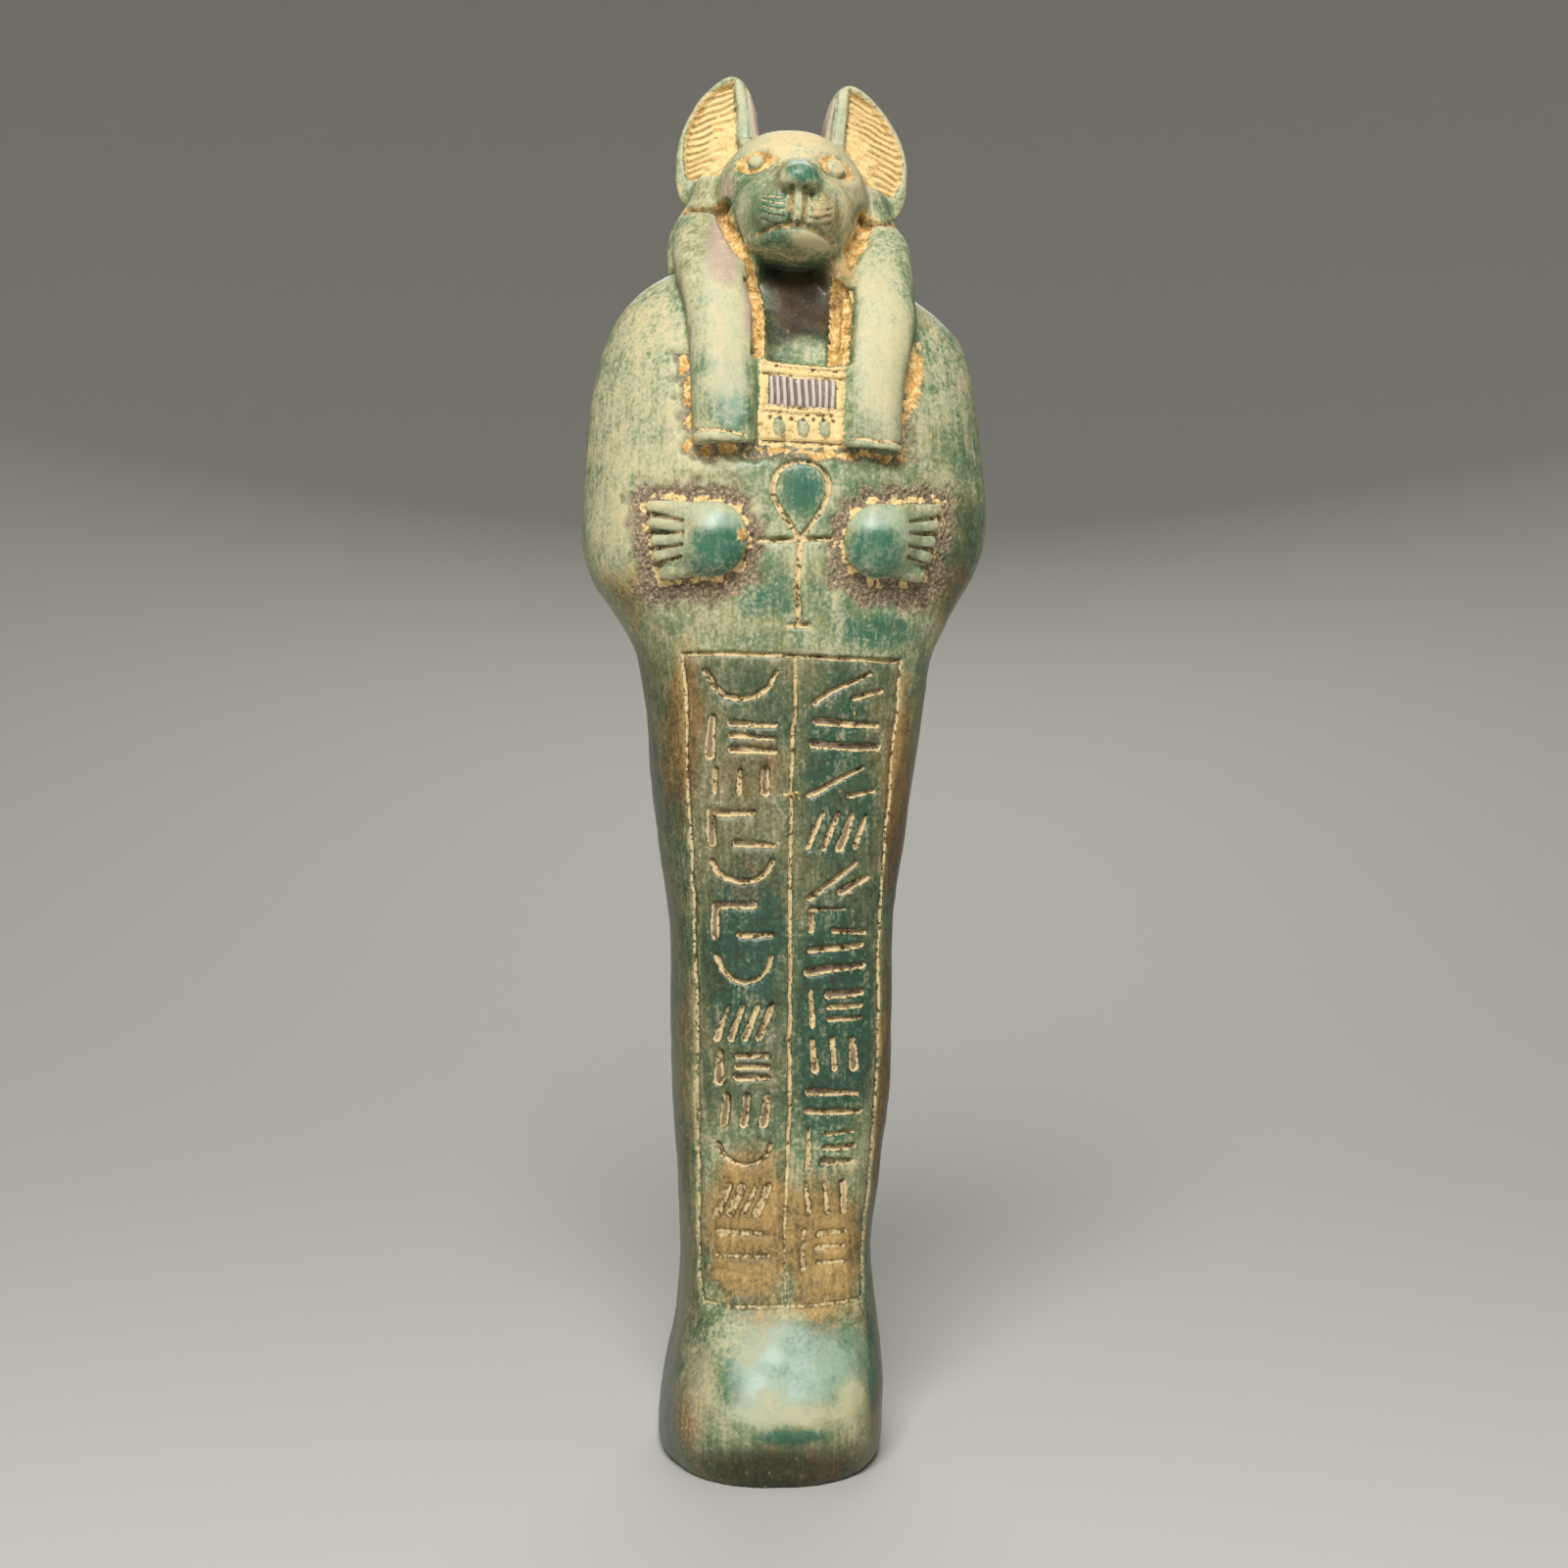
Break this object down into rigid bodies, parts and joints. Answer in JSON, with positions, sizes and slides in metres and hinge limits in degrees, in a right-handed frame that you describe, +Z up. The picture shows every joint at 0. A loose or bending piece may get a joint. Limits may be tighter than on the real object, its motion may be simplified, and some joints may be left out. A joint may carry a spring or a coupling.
{
  "type": "cat-headed mummiform statue",
  "caption": "Standing mummiform figure with a cat's head, wig with lappets, collar, hands on the chest, a life sign and an inscribed panel down the legs.",
  "frame": {"origin": "on the floor, at the centre of the figure's bounding box", "axes": "+Z up, from the sole to the ears; the face and the inscribed panel look along -Y; +X is to the right of someone facing the figure"},
  "size_m": [0.0742, 0.056, 0.25],
  "materials": {
    "glazed_stone": "worn green glaze, half gloss"
  },
  "bodies": {
    "root": {"cat_statue": "glazed_stone"}
  },
  "joints": []
}
